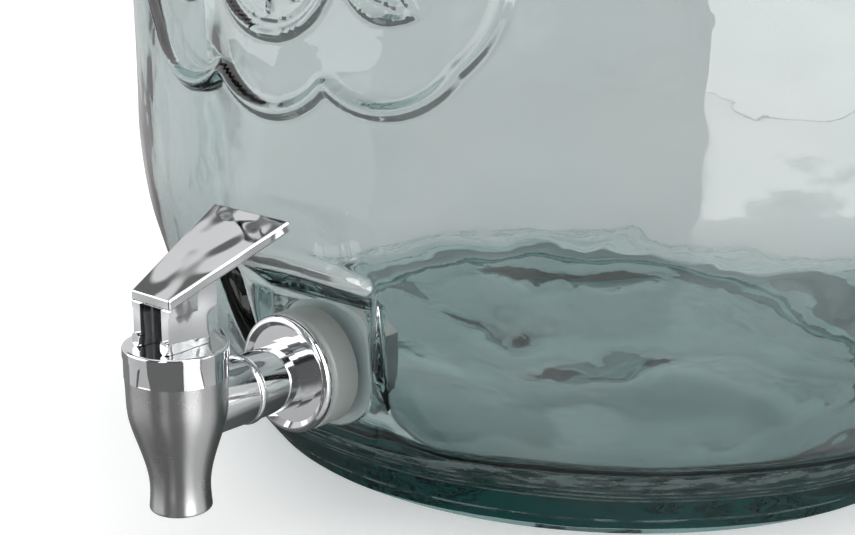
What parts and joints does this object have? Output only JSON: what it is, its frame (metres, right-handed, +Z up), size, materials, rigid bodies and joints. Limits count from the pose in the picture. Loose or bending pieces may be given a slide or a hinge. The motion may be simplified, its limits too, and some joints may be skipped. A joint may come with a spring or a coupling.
{
  "type": "drink dispenser",
  "caption": "Round moulded glass jar with a flat pad low on its wall, a small metal lever tap clamped through it and a lift-off lid with a knob.",
  "frame": {"origin": "centre of the bearing edge that the jar stands on, on the jar's axis", "axes": "+Z up along the jar's axis; -Y towards the tap; +X to the right when the tap faces you"},
  "size_m": [0.2799, 0.3233, 0.4183],
  "materials": {
    "jar_glass": "pale green-grey recycled glass, slightly wavy, clear gloss",
    "satin_metal": "satin nickel plate",
    "chrome": "mirror chrome plate",
    "steel": "plain bright stainless steel",
    "spring_steel": "drawn stainless spring wire",
    "clear_silicone": "translucent milky silicone",
    "plug_silicone": "soft white silicone",
    "gasket_silicone": "soft white silicone",
    "seal_rubber": "black nitrile",
    "stem_plastic": "black moulded acetal",
    "lid_steel": "satin pressed steel",
    "knob_metal": "mirror chrome plate"
  },
  "bodies": {
    "jar": {"glass_jar": "jar_glass", "tap_body": "satin_metal", "bonnet": "chrome", "bonnet_seal": "seal_rubber", "shank": "chrome", "tap_neck": "chrome", "neck_seal": "seal_rubber", "flange": "chrome", "outer_washer": "clear_silicone", "inner_washer": "clear_silicone", "backing_washer": "steel", "lock_nut": "steel"},
    "stem": {"stem": "stem_plastic", "stem_seal": "seal_rubber", "valve_plug": "plug_silicone"},
    "turner": {"thrust_washer": "stem_plastic", "return_spring": "spring_steel"},
    "lever": {"lever": "chrome", "lever_pin": "steel"},
    "lid": {"lid_shell": "lid_steel", "lid_gasket": "gasket_silicone", "lid_knob": "knob_metal", "knob_washer": "steel", "knob_screw": "steel"}
  },
  "joints": [
    {"name": "lever_swivel", "type": "hinge", "parent": "jar", "child": "turner", "pos_m": [0, -0.171, 0.0589], "axis": [0, 0, 1], "continuous": true},
    {"name": "stem_lift", "type": "slide", "parent": "turner", "child": "stem", "axis": [0, 0, 1], "range_m": [0, 0.0027], "deforming": ["return_spring"]},
    {"name": "lever_press", "type": "hinge", "parent": "stem", "child": "lever", "pos_m": [0, -0.171, 0.064], "axis": [-1, 0, 0], "range_deg": [0, 28], "stiffness_Nm_per_rad": 0.03, "springref_deg": -51.57},
    {"name": "lid_lift", "type": "slide", "parent": "jar", "child": "lid", "axis": [0, 0, 1], "range_m": [0, 0.06]}
  ],
  "couplings": [
    {"joint": "stem_lift", "follows": "lever_press", "m_per_rad": 0.0054}
  ]
}
